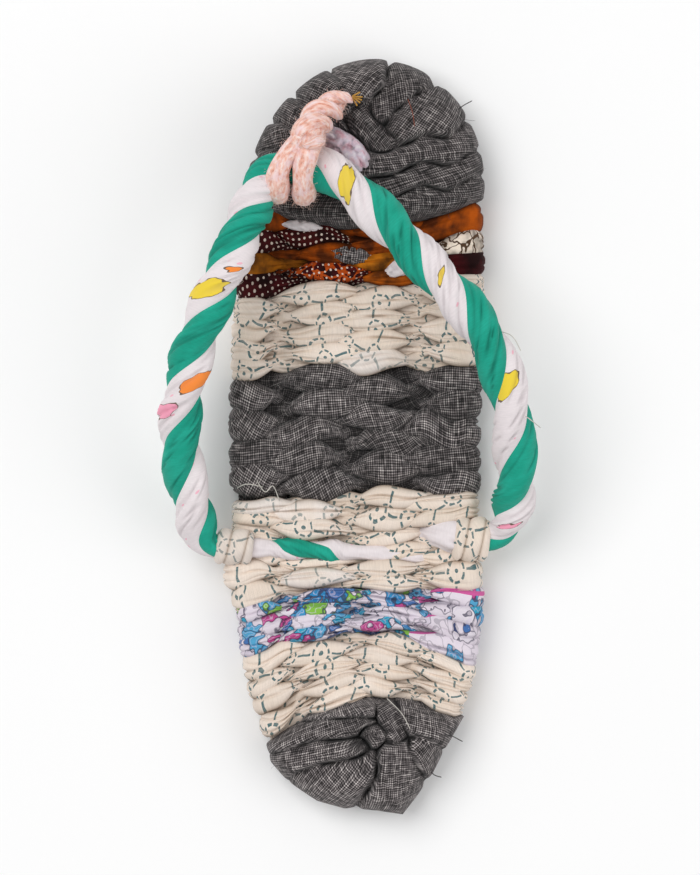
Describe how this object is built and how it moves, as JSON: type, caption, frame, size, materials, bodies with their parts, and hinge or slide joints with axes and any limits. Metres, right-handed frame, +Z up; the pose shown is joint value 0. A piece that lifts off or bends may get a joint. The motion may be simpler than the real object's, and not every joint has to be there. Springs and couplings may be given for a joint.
{
  "type": "woven cloth zori sandal",
  "caption": "Thong sandal woven from torn cloth strips in bands of grey, brown batik, cream and bright print, with a twisted green and white strap and a pink cord toe tie.",
  "frame": {"origin": "on the flat underside, at the middle of the sole's length and width", "axes": "+X across the foot to the picture's right, +Y from heel to toe, +Z up from the floor"},
  "size_m": [0.1231, 0.2502, 0.0518],
  "materials": {
    "grey_cloth": "coarse chambray weave of black and white threads",
    "brown_batik": "wax-resist printed cotton",
    "cream_print": "cotton with a teal dotted lattice print",
    "bright_print": "cotton with a many-coloured print",
    "green_cotton": "plain cotton, twisted with a white spotted cotton",
    "pink_cord": "fuzzy brushed cotton cord"
  },
  "bodies": {
    "root": {"toe_grey": "grey_cloth", "weft_brown": "brown_batik", "weft_cream_front": "cream_print", "weft_grey": "grey_cloth", "weft_cream_waist": "cream_print", "strap_tails": "green_cotton", "weft_cream_back": "cream_print", "weft_print": "bright_print", "weft_cream_heel": "cream_print", "heel_grey": "grey_cloth", "strap": "green_cotton", "side_loop_left": "cream_print", "side_loop_right": "cream_print", "toe_tie": "pink_cord"}
  },
  "joints": []
}
